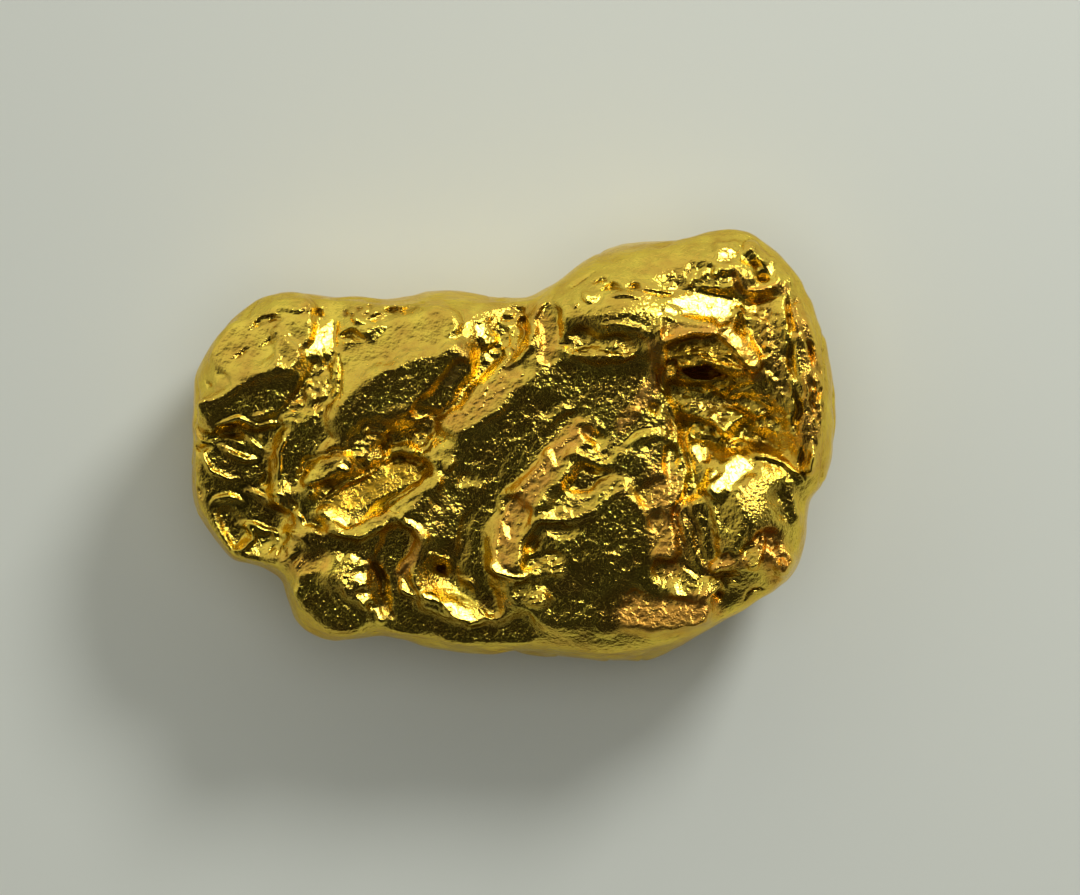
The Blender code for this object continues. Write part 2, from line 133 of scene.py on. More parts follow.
# Strips turned to one slope: path, half width, tilt, heading, lift. Angles are in degrees, and a heading is
# the way that the slope faces, anticlockwise from +X.
slopesByPlace = {
    "left end": [
        ([(-3.50, -0.20), (-3.15, -0.90)], 0.62, 4, 300, 0.0),
        ([(-3.74, 0.42), (-3.40, 0.52), (-2.80, 0.72)], 0.27, 7, 288, 0.0),
        ([(-3.60, 1.30), (-3.20, 1.25)], 0.40, 24, 108, 0.0),
        ([(-2.90, 1.60), (-2.64, 1.68)], 0.20, 20, 112, 0.0),
        ([(-2.74, 1.44), (-2.62, 1.42)], 0.20, 20, 112, -0.02),
        ([(-2.84, 1.36), (-2.74, 1.12)], 0.17, 20, 112, -0.01),
        ([(-3.24, 0.46), (-2.88, 0.52)], 0.17, 6, 290, 0.0),
        ([(-2.80, -0.35), (-2.62, 0.00), (-2.40, 0.28)], 0.30, 6, 290, 0.0),
        ([(-2.66, 0.40), (-2.54, 0.62)], 0.21, 19, 114, 0.04),
        ([(-2.44, 0.70), (-2.34, 0.90)], 0.18, 21, 104, 0.04),
        ([(-3.52, -0.88), (-3.44, -1.14)], 0.20, 5, 280, -0.08),
    ],
    "middle": [
        ([(-2.00, 1.02), (-1.50, 1.30), (-0.90, 1.52)], 0.32, 24, 114, 0.0),
        ([(-2.05, 0.36), (-1.50, 0.66), (-0.95, 0.94), (-0.72, 1.08)], 0.30, 6, 290, 0.0),
        ([(-1.14, 0.46), (-0.84, 0.64), (-0.62, 0.92)], 0.19, 6, 290, 0.0),
        ([(-1.96, 0.06), (-1.66, 0.20)], 0.17, 6, 290, 0.0),
        ([(0.04, 0.90), (-0.30, 0.60), (-0.72, 0.28)], 0.26, 22, 122, 0.06),
        ([(0.10, 0.40), (-0.30, -0.10), (-0.60, -0.60)], 0.30, 5, 290, 0.0),
    ],
    "small bump, knob and pocket": [
        ([(-2.86, -0.60), (-2.62, -0.72), (-2.42, -0.98)], 0.22, 6, 290, -0.02),
        ([(-2.46, -0.38), (-2.24, -0.30), (-2.06, -0.26)], 0.14, 18, 116, 0.06),
        ([(-2.28, -0.74), (-1.90, -0.64), (-1.50, -0.42), (-1.24, -0.30)], 0.27, 15, 100, 0.03),
        ([(-2.16, -1.10), (-1.86, -1.03), (-1.56, -0.95), (-1.42, -0.86)], 0.16, 22, 112, 0.05),
        ([(-1.46, -0.75), (-1.15, -0.55), (-0.92, -0.41)], 0.11, 22, 116, 0.05),
        ([(-1.42, -0.02), (-1.20, -0.05)], 0.13, 24, 100, 0.04),
        ([(-0.92, -0.12), (-0.80, -0.24)], 0.09, 22, 114, 0.02),
        ([(-0.56, -0.46), (-0.38, -0.54)], 0.10, 20, 112, 0.01),
        ([(-2.46, -1.16), (-2.00, -1.28), (-1.55, -1.14)], 0.17, 6, 290, -0.02),
    ],
    "foot and lower ridge": [
        ([(-2.52, -1.76), (-2.32, -1.98), (-2.00, -2.12)], 0.34, 6, 300, 0.0),
        ([(-2.62, -1.50), (-2.38, -1.44)], 0.18, 22, 115, 0.0),
        ([(-1.42, -1.12), (-1.46, -1.60), (-1.36, -2.06)], 0.25, 5, 290, -0.02),
        ([(-1.60, -2.16), (-1.10, -2.26), (-0.50, -2.36), (0.20, -2.28)], 0.22, 5, 290, 0.0),
        ([(-1.13, -1.12), (-1.22, -1.32), (-1.36, -1.54)], 0.08, 22, 122, 0.05),
    ],
    "curved ridge and plateau": [
        ([(-0.45, -0.95), (-0.50, -1.50), (-0.30, -1.95)], 0.22, 5, 290, -0.02),
        ([(0.56, 0.30), (0.22, -0.02), (0.02, -0.36)], 0.30, 5, 290, 0.0),
        ([(-0.16, -0.58), (-0.36, -1.00), (-0.40, -1.50)], 0.26, 5, 290, 0.01),
        ([(0.80, -1.30), (1.20, -1.10), (1.50, -0.70)], 0.42, 5, 290, 0.0),
        ([(0.40, -2.05), (1.00, -2.10), (1.40, -2.00)], 0.34, 5, 290, 0.0),
        ([(1.40, -0.20), (1.62, -0.40)], 0.24, 5, 290, 0.0),
        ([(0.78, 0.16), (0.62, -0.02), (0.51, -0.26), (0.34, -0.46), (0.18, -0.66), (0.08, -0.86)],
         0.31, 20, 122, 0.01),
        ([(0.05, -0.84), (-0.06, -1.11), (-0.09, -1.36)], 0.28, 20, 126, -0.03),
        ([(0.78, -0.46), (1.00, -0.40), (1.20, -0.38)], 0.17, 5, 290, -0.03),
        ([(0.74, -0.08), (1.00, -0.13), (1.22, -0.16)], 0.11, 20, 106, 0.02),
        ([(0.36, -0.90), (0.62, -0.85), (0.90, -0.76), (1.12, -0.55), (1.30, -0.42)], 0.14, 22, 108, 0.04),
        ([(0.24, -1.54), (0.50, -1.46)], 0.19, 21, 114, 0.02),
        ([(0.10, -1.78), (0.32, -1.88)], 0.18, 21, 112, 0.03),
        ([(0.44, -1.10), (0.72, -1.05)], 0.11, 5, 290, -0.01),
        ([(0.90, 0.20), (1.06, 0.06)], 0.14, 5, 290, -0.03),
        ([(1.44, 0.00), (1.62, 0.08), (1.82, 0.16)], 0.09, 23, 110, 0.02),
        ([(2.00, -0.10), (2.03, -0.40), (2.00, -0.62)], 0.15, 19, 106, 0.0),
        ([(1.82, -0.56), (1.98, -0.70)], 0.15, 17, 130, 0.0),
        ([(1.76, -0.62), (1.82, -0.86)], 0.22, 15, 128, 0.01),
        ([(1.82, -1.02), (1.92, -1.32)], 0.24, 15, 128, 0.03),
        ([(1.52, -2.04), (1.90, -2.10), (2.28, -2.02)], 0.27, 13, 116, 0.12),
    ],
    "upper right": [
        ([(0.40, 1.60), (0.50, 1.36), (0.48, 1.14)], 0.19, 17, 118, -0.05),
        ([(0.64, 1.21), (1.00, 1.17), (1.38, 1.17)], 0.16, 19, 108, 0.01),
        ([(1.16, 1.52), (1.60, 1.45)], 0.10, 18, 112, 0.0),
        ([(1.98, 1.42), (2.30, 1.47), (2.54, 1.44)], 0.17, 17, 110, 0.01),
        ([(2.28, 2.13), (2.64, 2.07)], 0.16, 18, 112, -0.05),
        ([(2.00, 1.14), (2.34, 1.18), (2.70, 1.12)], 0.22, 20, 106, 0.09),
        ([(2.04, 1.02), (2.40, 1.04), (2.76, 0.98)], 0.11, 22, 110, 0.02),
        ([(2.10, 0.80), (2.36, 0.76), (2.64, 0.78)], 0.14, 21, 102, 0.02),
        ([(1.96, 1.00), (2.02, 0.84)], 0.09, 20, 112, 0.0),
        ([(1.76, 1.30), (1.80, 1.05), (1.70, 0.80)], 0.11, 18, 112, 0.02),
        ([(2.14, 0.70), (2.60, 0.70)], 0.11, 16, 96, 0.0),
        ([(2.82, 1.66), (2.84, 1.40)], 0.09, 7, 290, -0.03),
        ([(3.02, 1.54), (3.12, 1.20)], 0.14, 15, 168, -0.01),
        ([(2.96, 2.34), (3.12, 2.14)], 0.13, 7, 290, -0.01),
        ([(2.80, 2.06), (2.92, 1.92), (3.18, 1.94)], 0.07, 20, 112, 0.03),
        ([(3.38, 2.04), (3.54, 1.74)], 0.10, 8, 290, 0.0),
        ([(3.60, 1.46), (3.68, 1.16)], 0.09, 8, 290, 0.0),
        ([(3.74, 0.78), (3.76, 0.42)], 0.08, 8, 290, 0.0),
        ([(2.14, 0.60), (2.38, 0.46), (2.62, 0.32)], 0.28, 21, 100, 0.03),
        ([(2.24, 0.54), (2.40, 0.48)], 0.15, 24, 84, 0.02),
        ([(2.34, 0.20), (2.48, 0.12)], 0.14, 24, 84, 0.02),
        ([(2.50, 0.36), (2.60, 0.28)], 0.10, 24, 76, 0.02),
        ([(2.62, 0.46), (2.78, 0.38)], 0.14, 20, 110, 0.02),
        ([(2.94, 0.58), (3.06, 0.46)], 0.13, 19, 108, 0.03),
        ([(3.10, 0.30), (3.24, 0.22)], 0.13, 19, 116, 0.03),
    ],
    "lower right lobe": [
        ([(3.36, -0.58), (3.44, -0.86)], 0.20, 7, 300, 0.0),
        ([(2.60, -0.74), (2.68, -1.00), (2.66, -1.34)], 0.24, 15, 168, 0.0),
        ([(2.24, -0.86), (2.30, -1.14), (2.38, -1.42)], 0.22, 7, 290, 0.02),
        ([(1.92, -1.60), (2.20, -1.72), (2.42, -1.76)], 0.23, 20, 98, 0.05),
        ([(3.18, -1.22), (3.34, -1.48)], 0.22, 16, 96, 0.13),
        ([(3.04, -1.12), (2.96, -1.42)], 0.09, 22, 115, 0.02),
        ([(2.48, -1.50), (2.76, -1.42)], 0.11, 22, 112, 0.0),
    ],
    "glints, turned towards the light": [
        ([(-2.32, -0.80), (-2.10, -0.94)], 0.09, 26, 56, 0.02),
        ([(-2.10, -0.26), (-2.02, -0.34)], 0.07, 26, 56, 0.02),
        ([(-1.31, -0.92), (-1.20, -0.97), (-1.14, -1.05)], 0.08, 26, 56, 0.02),
        ([(-1.98, -1.36), (-1.84, -1.43), (-1.76, -1.47)], 0.06, 26, 60, 0.01),
        ([(-1.90, -1.58), (-1.84, -1.70)], 0.10, 26, 56, 0.02),
        ([(-1.84, -1.84), (-1.76, -1.95)], 0.11, 26, 56, 0.02),
        ([(-1.70, -2.03), (-1.62, -2.14)], 0.10, 26, 56, 0.02),
        ([(-1.36, -1.71), (-1.24, -1.79)], 0.09, 26, 56, 0.04),
        ([(-1.12, -1.83), (-0.90, -1.88)], 0.10, 26, 56, 0.04),
        ([(-0.77, -1.94), (-0.60, -2.08), (-0.44, -2.21)], 0.11, 26, 54, 0.04),
        ([(-0.38, 1.44), (-0.34, 1.32)], 0.12, 26, 56, 0.05),
        ([(-0.33, 1.09), (-0.30, 1.05)], 0.08, 26, 56, 0.03),
        ([(-2.28, 1.42), (-2.36, 1.30), (-2.46, 1.16)], 0.17, 26, 56, 0.03),
        ([(-1.92, 1.60), (-1.82, 1.62)], 0.05, 27, 58, 0.02),
        ([(-1.74, 1.66), (-1.66, 1.68)], 0.05, 27, 58, 0.02),
        ([(-1.40, 1.74), (-1.24, 1.77)], 0.05, 27, 58, 0.02),
        ([(2.06, 1.76), (2.32, 1.73), (2.60, 1.70)], 0.24, 25, 58, -0.05),
        ([(1.92, 1.66), (2.06, 1.62)], 0.09, 26, 58, 0.01),
        ([(2.54, 2.28), (2.46, 2.18)], 0.05, 26, 56, 0.02),
        ([(2.40, 2.24), (2.32, 2.12)], 0.05, 26, 56, 0.02),
        ([(2.28, 2.14), (2.20, 2.04)], 0.05, 26, 56, 0.02),
        ([(2.66, 1.38), (2.80, 1.20), (2.96, 1.00)], 0.12, 26, 56, 0.05),
        ([(3.14, 0.90), (3.24, 0.84)], 0.09, 26, 56, 0.02),
        ([(2.50, -0.52), (2.70, -0.36), (2.84, -0.26)], 0.21, 26, 55, 0.03),
        ([(2.40, -0.36), (2.50, -0.30)], 0.08, 26, 55, 0.01),
        ([(-0.20, -1.46), (-0.04, -1.55), (0.12, -1.60)], 0.11, 26, 56, 0.03),
        ([(0.50, -0.06), (0.54, -0.18)], 0.07, 26, 60, 0.01),
        ([(-0.06, -1.02), (-0.04, -1.14)], 0.07, 26, 60, 0.01),
        ([(3.12, -1.22), (3.20, -1.32)], 0.07, 26, 58, 0.0),
        ([(2.72, -1.36), (2.84, -1.38)], 0.06, 26, 56, 0.01),
        ([(2.04, -1.80), (2.20, -1.80)], 0.08, 25, 70, 0.01),
        ([(2.16, -1.52), (2.24, -1.58)], 0.07, 26, 62, 0.01),
        ([(2.60, 2.42), (2.74, 2.40)], 0.14, 28, 56, 0.01),
        ([(3.16, 2.26), (3.20, 2.12)], 0.07, 28, 50, 0.01),
        ([(0.94, 1.86), (1.04, 1.85)], 0.09, 28, 60, 0.01),
        ([(2.26, -0.06), (2.32, -0.14)], 0.09, 26, 56, 0.01),
        ([(3.70, -0.08), (3.70, -0.32)], 0.07, 26, 54, 0.02),
    ],
}

# Patches of another tint, or of painted shade: path, half width, strength
copperyPatches = {
    "curved ridge": ([(0.84, 0.20), (0.55, -0.10), (0.30, -0.42), (0.10, -0.72), (-0.04, -1.05),
                      (-0.10, -1.36)], 0.22, 0.9),
    "band beside the lower right lobe": ([(1.86, -0.45), (1.88, -0.90), (1.96, -1.42)], 0.32, 0.9),
    "front edge": ([(1.50, -2.08), (1.90, -2.12), (2.36, -2.02)], 0.34, 1.3),
    "rosy knob": ([(3.14, -1.18), (3.34, -1.54)], 0.26, 1.3),
    "below the lower right lobe": ([(2.46, -1.52), (2.80, -1.42)], 0.15, 1.2),
    "rosy ridge": ([(-1.12, -1.08), (-1.22, -1.32), (-1.38, -1.56)], 0.12, 1.0),
    "lip over the cavity": ([(1.96, 1.36), (2.56, 1.40), (2.84, 1.20), (3.00, 0.90)], 0.16, 0.9),
    "ridge on the knob": ([(2.78, 2.10), (2.92, 1.90), (3.34, 1.94)], 0.12, 0.8),
    "beside the cavity": ([(1.74, 1.24), (1.80, 0.92), (1.66, 0.52)], 0.13, 0.9),
    "right hand rim": ([(3.52, 1.70), (3.66, 1.20), (3.72, 0.60), (3.66, 0.14)], 0.20, 0.8),
    "crumpled upper right": ([(3.10, 1.80), (3.16, 1.30), (3.20, 0.70)], 0.28, 0.4),
    "foot": ([(-2.66, -1.52), (-2.36, -1.44)], 0.18, 0.6),
    "middle lobe": ([(-1.45, 0.36), (-0.80, 0.42), (-0.30, 0.60)], 0.20, 0.4),
    "band beside the middle lobe": ([(0.00, 0.84), (-0.34, 0.56), (-0.70, 0.28)], 0.20, 0.7),
    "below the cavity": ([(1.66, 0.64), (1.46, 0.40), (1.36, 0.24)], 0.14, 1.0),
    "above the plateau": ([(0.30, 1.66), (0.46, 1.40), (0.42, 1.10)], 0.16, 0.7),
}
# Painted shade and painted gold-on-gold reflection: darker, warmer gold in the pocket, the cavity and the
# bowls
amberShadePatches = {
    "pocket": ([(-2.24, -0.72), (-1.85, -0.58), (-1.30, -0.28)], 0.26, 0.9),
    "under the knob": ([(-1.74, 0.16), (-1.50, 0.14), (-1.00, 0.22)], 0.16, 0.4),
    "cavity": ([(2.06, 1.08), (2.40, 1.04), (2.72, 0.94)], 0.34, 0.9),
    "bowl beside the basin": ([(3.05, 0.02), (3.42, -0.12)], 0.28, 0.5),
}
# Painted shade: darker, browner gold in valleys, crevices, on a steep wall and along the front edge
brownShadePatches = {
    "end of the middle lobe": ([(-0.58, 1.26), (-0.60, 1.08), (-0.80, 0.82)], 0.15, 1.0),
    "valley beside the foot": ([(-1.77, -1.42), (-1.62, -1.66), (-1.54, -2.10)], 0.12, 1.0),
    "behind the lower ridge": ([(-0.50, -1.74), (-0.30, -1.94)], 0.13, 0.8),
    "small bump": ([(-2.42, -0.22), (-2.10, -0.14)], 0.10, 0.8),
    "crevice": ([(2.20, -0.60), (2.24, -1.00), (2.40, -1.50)], 0.10, 0.5),
    "front edge": ([(1.10, -2.22), (1.60, -2.30), (2.20, -2.20)], 0.10, 0.8),
}

# Ridges (+) and grooves (-): path, half width or (half width to its left, to its right), rise
foldsByPlace = {
    "left lobe": [
        ([(-3.24, 1.44), (-3.12, 1.54), (-2.98, 1.58), (-2.86, 1.56)], (0.06, 0.09), -0.06),
        ([(-3.46, 1.08), (-3.34, 1.14), (-3.24, 1.20)], 0.05, -0.04),
        ([(-3.12, 1.22), (-3.00, 1.30), (-2.88, 1.40)], 0.05, -0.04),
        ([(-2.96, 1.26), (-2.90, 1.34)], 0.05, -0.05),
        ([(-3.66, 0.96), (-3.58, 0.86), (-3.50, 0.80)], 0.07, -0.05),
        ([(-3.78, 0.80), (-3.72, 0.72)], 0.06, -0.06),
        ([(-2.84, 1.72), (-2.70, 1.70), (-2.58, 1.72)], 0.08, 0.03),
        ([(-2.42, 1.68), (-2.34, 1.60)], 0.06, -0.10),
        ([(-3.95, 0.47), (-3.85, 0.56), (-3.74, 0.61), (-3.61, 0.65), (-3.45, 0.72), (-3.30, 0.78)],
         (0.05, 0.16), 0.06),
    ],
    "crumpled end": [
        ([(-3.95, 0.46), (-3.96, 0.27), (-3.90, 0.09), (-3.80, 0.02), (-3.71, 0.02)], 0.06, 0.08),
        ([(-3.96, 0.02), (-3.84, -0.04), (-3.74, -0.02)], 0.04, -0.12),
        ([(-3.72, 0.16), (-3.61, 0.27), (-3.45, 0.32), (-3.29, 0.29), (-3.16, 0.23), (-3.00, 0.26),
          (-2.82, 0.31)], (0.05, 0.09), 0.08),
        ([(-3.66, 0.12), (-3.46, 0.18), (-3.30, 0.10)], 0.07, -0.08),
        ([(-3.61, -0.01), (-3.52, -0.07), (-3.36, -0.15), (-3.16, -0.17)], (0.07, 0.09), 0.09),
        ([(-3.29, 0.12), (-3.20, 0.02), (-3.04, -0.07), (-2.97, -0.05)], 0.05, 0.07),
        ([(-3.50, 0.08), (-3.40, 0.04), (-3.30, -0.04)], 0.04, 0.05),
        ([(-3.12, 0.14), (-3.04, 0.04)], 0.04, 0.05),
        ([(-3.82, -0.07), (-3.79, -0.20), (-3.71, -0.33), (-3.55, -0.40), (-3.38, -0.41)], 0.05, 0.09),
        ([(-2.88, 0.21), (-2.83, 0.05), (-2.89, -0.11), (-2.87, -0.30), (-2.91, -0.49)], 0.055, 0.05),
        ([(-3.00, -0.18), (-3.02, -0.36), (-3.14, -0.48)], 0.06, -0.08),
        ([(-3.74, -0.72), (-3.61, -0.64), (-3.45, -0.63), (-3.34, -0.70)], (0.05, 0.10), 0.09),
        ([(-3.29, -0.56), (-3.04, -0.65), (-2.81, -0.78), (-2.60, -0.90)], (0.06, 0.11), 0.10),
        ([(-3.10, -0.50), (-2.98, -0.56), (-2.78, -0.64)], 0.05, 0.06),
        ([(-2.76, -0.66), (-2.66, -0.78)], 0.07, -0.06),
        ([(-3.36, -0.96), (-3.20, -1.00), (-3.02, -1.06), (-2.84, -1.10)], (0.05, 0.08), 0.08),
        ([(-3.42, -0.98), (-3.24, -1.06), (-3.20, -1.16), (-3.30, -1.27), (-3.46, -1.31)], 0.05, 0.09),
        ([(-2.96, -1.08), (-2.90, -1.22)], 0.04, 0.05),
        ([(-2.84, -1.02), (-2.68, -1.10), (-2.52, -1.20)], 0.05, 0.07),
        ([(-2.78, -0.96), (-2.66, -1.00)], 0.04, -0.06),
        ([(-3.02, -1.36), (-2.96, -1.24)], 0.035, -0.06),
        ([(-2.92, -1.38), (-2.88, -1.24)], 0.035, -0.06),
        ([(-2.82, -1.40), (-2.80, -1.26)], 0.035, -0.06),
        ([(-3.26, -1.46), (-3.10, -1.50), (-2.98, -1.56)], 0.05, -0.08),
        ([(-2.92, -1.50), (-2.80, -1.40), (-2.62, -1.30)], 0.05, 0.06),
        ([(-3.90, -0.50), (-3.84, -0.64)], 0.05, -0.06),
    ],
    "small bump, knob and pocket": [
        ([(-2.62, -0.40), (-2.56, -0.22), (-2.30, -0.10), (-2.02, -0.06), (-1.90, -0.18)], 0.06, -0.08),
        ([(-2.58, -0.50), (-2.40, -0.52), (-2.22, -0.48), (-2.04, -0.42)], 0.07, -0.09),
        ([(-1.90, -0.16), (-1.82, -0.26), (-1.80, -0.34)], 0.07, -0.10),
        ([(-2.40, -0.26), (-2.24, -0.18), (-2.10, -0.16)], 0.04, 0.03),
        ([(-2.36, -0.70), (-2.18, -0.54), (-2.00, -0.45), (-1.82, -0.38), (-1.66, -0.28)],
         (0.04, 0.05), 0.06),
        ([(-2.02, -0.99), (-1.85, -0.93), (-1.64, -0.82), (-1.42, -0.67), (-1.20, -0.52)],
         (0.05, 0.03), -0.07),
        ([(-1.62, -0.24), (-1.40, -0.18), (-1.14, -0.20)], 0.05, -0.06),
        ([(-1.20, -0.34), (-1.08, -0.28), (-0.98, -0.20)], 0.06, -0.05),
        ([(-1.62, 0.00), (-1.56, -0.06), (-1.58, -0.14)], 0.07, -0.10),
        ([(-1.06, -0.60), (-0.94, -0.70), (-0.86, -0.86)], 0.06, -0.04),
    ],
    "middle lobe": [
        ([(-2.16, 1.20), (-2.12, 0.95), (-2.14, 0.72), (-2.24, 0.50)], 0.05, -0.05),
        ([(-2.12, 1.36), (-1.98, 1.38), (-1.84, 1.32)], 0.09, -0.12),
        ([(-1.62, 1.66), (-1.53, 1.67), (-1.46, 1.64)], 0.05, -0.07),
        ([(-1.14, 1.80), (-1.08, 1.76)], 0.05, -0.08),
        ([(-1.96, 1.62), (-1.66, 1.58), (-1.40, 1.64), (-1.10, 1.70)], 0.10, -0.04),
        ([(-1.30, 0.36), (-1.10, 0.42), (-0.86, 0.34)], 0.10, -0.06),
        ([(-0.98, 0.31), (-0.84, 0.32)], 0.035, 0.04),
        ([(-1.74, 0.12), (-1.60, 0.06), (-1.50, 0.14)], 0.10, -0.08),
        ([(-1.38, -0.03), (-1.26, -0.06), (-1.14, -0.05)], 0.11, 0.09),
        ([(-1.12, -0.20), (-0.94, -0.18)], 0.05, 0.04),
    ],
    "gap to the top edge": [
        ([(0.56, 1.98), (0.36, 1.76), (0.23, 1.57), (0.24, 1.36), (0.15, 1.15), (-0.06, 0.97)],
         (0.09, 0.06), 0.09),
        ([(0.02, 1.74), (0.10, 1.68), (0.18, 1.72)], 0.05, -0.08),
        ([(0.12, 1.64), (0.14, 1.50), (0.16, 1.36), (0.08, 1.22)], 0.10, -0.14),
        ([(-0.16, 1.56), (-0.04, 1.46), (0.00, 1.34)], 0.06, 0.05),
        ([(-0.12, 1.20), (-0.02, 1.10)], 0.06, 0.05),
    ],
    "upper right": [
        ([(1.12, 1.93), (1.25, 1.97), (1.36, 1.93)], 0.07, -0.10),
        ([(1.42, 1.97), (1.54, 1.95), (1.60, 1.91)], 0.06, -0.09),
        ([(1.00, 2.02), (1.12, 2.05), (1.20, 2.02)], 0.05, -0.06),
        ([(1.20, 1.86), (1.40, 1.87), (1.56, 1.84)], 0.05, 0.05),
        ([(1.60, 1.92), (1.78, 1.87), (2.02, 1.88)], 0.04, -0.06),
        ([(0.76, 1.80), (0.78, 1.70)], 0.05, 0.05),
        ([(0.72, 1.36), (0.86, 1.38), (1.00, 1.32)], 0.16, -0.08),
        ([(1.24, 1.34), (1.48, 1.30), (1.74, 1.24)], 0.16, -0.05),
        ([(0.56, 1.20), (0.80, 1.14), (1.10, 1.10), (1.38, 1.12)], (0.12, 0.09), 0.07),
        ([(2.95, 2.26), (3.05, 2.24)], 0.09, -0.10),
        ([(3.06, 2.10), (3.12, 2.04)], 0.08, -0.09),
        ([(2.72, 2.20), (2.78, 2.02), (2.84, 1.86)], 0.05, -0.08),
        ([(2.84, 1.78), (3.05, 1.80), (3.30, 1.86)], 0.05, -0.12),
        ([(2.90, 1.92), (3.10, 1.94), (3.30, 1.98)], 0.06, 0.06),
        ([(2.82, 1.64), (2.84, 1.48), (2.88, 1.32)], 0.09, -0.10),
        ([(2.62, 1.34), (2.74, 1.16), (2.86, 1.02), (2.98, 0.90)], 0.05, 0.05),
    ],
    "cavity": [
        ([(1.84, 1.14), (1.96, 1.32), (2.26, 1.36), (2.60, 1.34)], 0.09, 0.06),
        ([(1.90, 1.22), (1.88, 1.06), (1.86, 0.90)], 0.05, 0.08),
        ([(1.80, 1.02), (1.80, 0.84), (1.88, 0.66)], 0.05, -0.08),
        ([(2.04, 1.18), (2.30, 1.14), (2.56, 1.10), (2.76, 1.02)], 0.04, 0.03),
        ([(2.14, 1.14), (2.34, 1.06), (2.56, 1.00), (2.78, 0.90)], 0.045, 0.05),
        ([(2.06, 0.95), (2.26, 0.90), (2.46, 0.89), (2.68, 0.90)], 0.085, -0.28),
        ([(2.26, 0.78), (2.44, 0.83), (2.58, 0.80)], 0.05, 0.05),
        ([(2.58, 1.02), (2.80, 0.95), (2.96, 0.84), (2.82, 0.76)], 0.05, 0.07),
        ([(2.10, 0.70), (2.40, 0.66), (2.66, 0.72)], 0.08, 0.04),
    ],
    "crevice and basin": [
        ([(1.95, 0.66), (2.06, 0.48), (2.14, 0.28), (2.14, 0.04), (2.20, -0.22), (2.28, -0.50)],
         0.04, -0.10),
        ([(1.88, 0.60), (1.98, 0.42), (2.04, 0.22), (2.04, 0.00)], 0.06, 0.06),
        ([(1.72, 0.50), (1.80, 0.42)], 0.11, -0.12),
        ([(1.46, 0.48), (1.58, 0.36)], 0.07, 0.06),
        ([(1.40, 0.02), (1.58, 0.10), (1.80, 0.18)], (0.10, 0.08), 0.06),
        ([(2.62, 0.02), (2.85, 0.04), (3.05, -0.10), (3.30, -0.18), (3.50, -0.32), (3.58, -0.46)],
         (0.05, 0.09), 0.10),
        ([(2.84, 0.66), (3.02, 0.58), (3.20, 0.50)], 0.05, 0.08),
        ([(2.52, 0.30), (2.66, 0.16), (2.80, 0.12)], 0.07, 0.07),
        ([(2.96, 0.30), (2.98, 0.12)], 0.05, 0.06),
        ([(3.14, 0.36), (3.20, 0.16)], 0.05, 0.05),
        ([(3.02, 0.12), (3.20, 0.02), (3.36, -0.06)], 0.12, -0.08),
    ],
    "right rim": [
        ([(3.30, 2.10), (3.54, 1.62), (3.72, 1.16), (3.82, 0.70), (3.82, 0.20), (3.76, -0.20)], 0.20, 0.10),
        ([(3.38, 1.90), (3.42, 1.62), (3.46, 1.36)], 0.06, -0.12),
        ([(3.44, 1.34), (3.44, 1.05), (3.50, 0.80)], 0.06, -0.14),
        ([(3.50, 0.72), (3.54, 0.45), (3.52, 0.15)], 0.06, -0.12),
        ([(3.66, 1.24), (3.72, 0.98)], 0.05, -0.10),
        ([(3.78, 0.80), (3.80, 0.50)], 0.04, -0.08),
        ([(3.60, 0.96), (3.64, 0.70), (3.62, 0.46)], 0.07, 0.08),
        ([(3.70, 0.02), (3.72, -0.16), (3.70, -0.34)], 0.10, 0.12),
        ([(3.58, 0.00), (3.58, -0.24), (3.60, -0.42)], 0.05, -0.10),
    ],
    "lower right lobe": [
        ([(2.20, -0.66), (2.16, -0.86), (2.26, -1.04), (2.32, -1.30), (2.42, -1.50)], 0.09, -0.06),
        ([(2.56, -1.61), (2.68, -1.58), (2.82, -1.58)], (0.03, 0.06), -0.10),
        ([(2.56, -1.74), (2.58, -1.92)], 0.06, -0.13),
        ([(2.68, -1.84), (2.66, -1.74), (2.76, -1.68), (2.84, -1.74)], 0.035, 0.05),
        ([(2.87, -1.90), (2.96, -1.80), (3.05, -1.76), (3.13, -1.79)], 0.03, -0.10),
        ([(3.04, -1.56), (3.20, -1.66), (3.40, -1.62)], 0.07, -0.06),
        ([(2.94, -1.00), (2.90, -1.20), (2.84, -1.38)], 0.05, -0.05),
    ],
    "curved ridge": [
        ([(0.96, 0.30), (0.70, 0.10), (0.44, -0.08), (0.28, -0.32), (0.08, -0.54), (-0.06, -0.78),
          (-0.16, -1.04), (-0.22, -1.40)], (0.04, 0.05), 0.02),
        ([(0.84, 0.22), (0.98, 0.12), (1.14, 0.10)], 0.12, -0.06),
        ([(0.68, -0.38), (0.66, -0.54)], 0.09, -0.12),
        ([(0.86, -0.28), (1.10, -0.32)], 0.07, -0.09),
        ([(0.34, -1.04), (0.60, -1.04), (0.86, -1.02)], 0.11, -0.04),
        ([(0.14, -1.30), (0.26, -1.22), (0.36, -1.12)], 0.10, -0.10),
        ([(0.62, -0.16), (0.80, -0.10), (1.00, -0.20)], 0.04, 0.03),
        ([(0.36, -1.40), (0.46, -1.48), (0.58, -1.46)], 0.04, 0.04),
        ([(0.38, -1.52), (0.48, -1.58), (0.60, -1.62)], 0.04, 0.04),
        ([(1.96, 0.36), (2.10, 0.20), (2.12, 0.00)], 0.05, -0.06),
    ],
    "lower middle ridge and foot": [
        ([(-1.10, -1.44), (-1.00, -1.35), (-0.86, -1.38), (-0.76, -1.50), (-0.72, -1.66)], 0.045, 0.06),
        ([(-0.97, -1.46), (-0.84, -1.58)], 0.11, -0.20),
        ([(-1.02, -1.42), (-0.95, -1.52)], 0.025, 0.05),
        ([(-0.66, -1.62), (-0.50, -1.70), (-0.42, -1.84)], 0.05, 0.05),
        ([(-1.77, -1.40), (-1.63, -1.62), (-1.57, -1.90), (-1.49, -2.12)], (0.10, 0.06), -0.13),
        ([(-2.72, -1.56), (-2.60, -1.38), (-2.46, -1.32)], 0.05, 0.04),
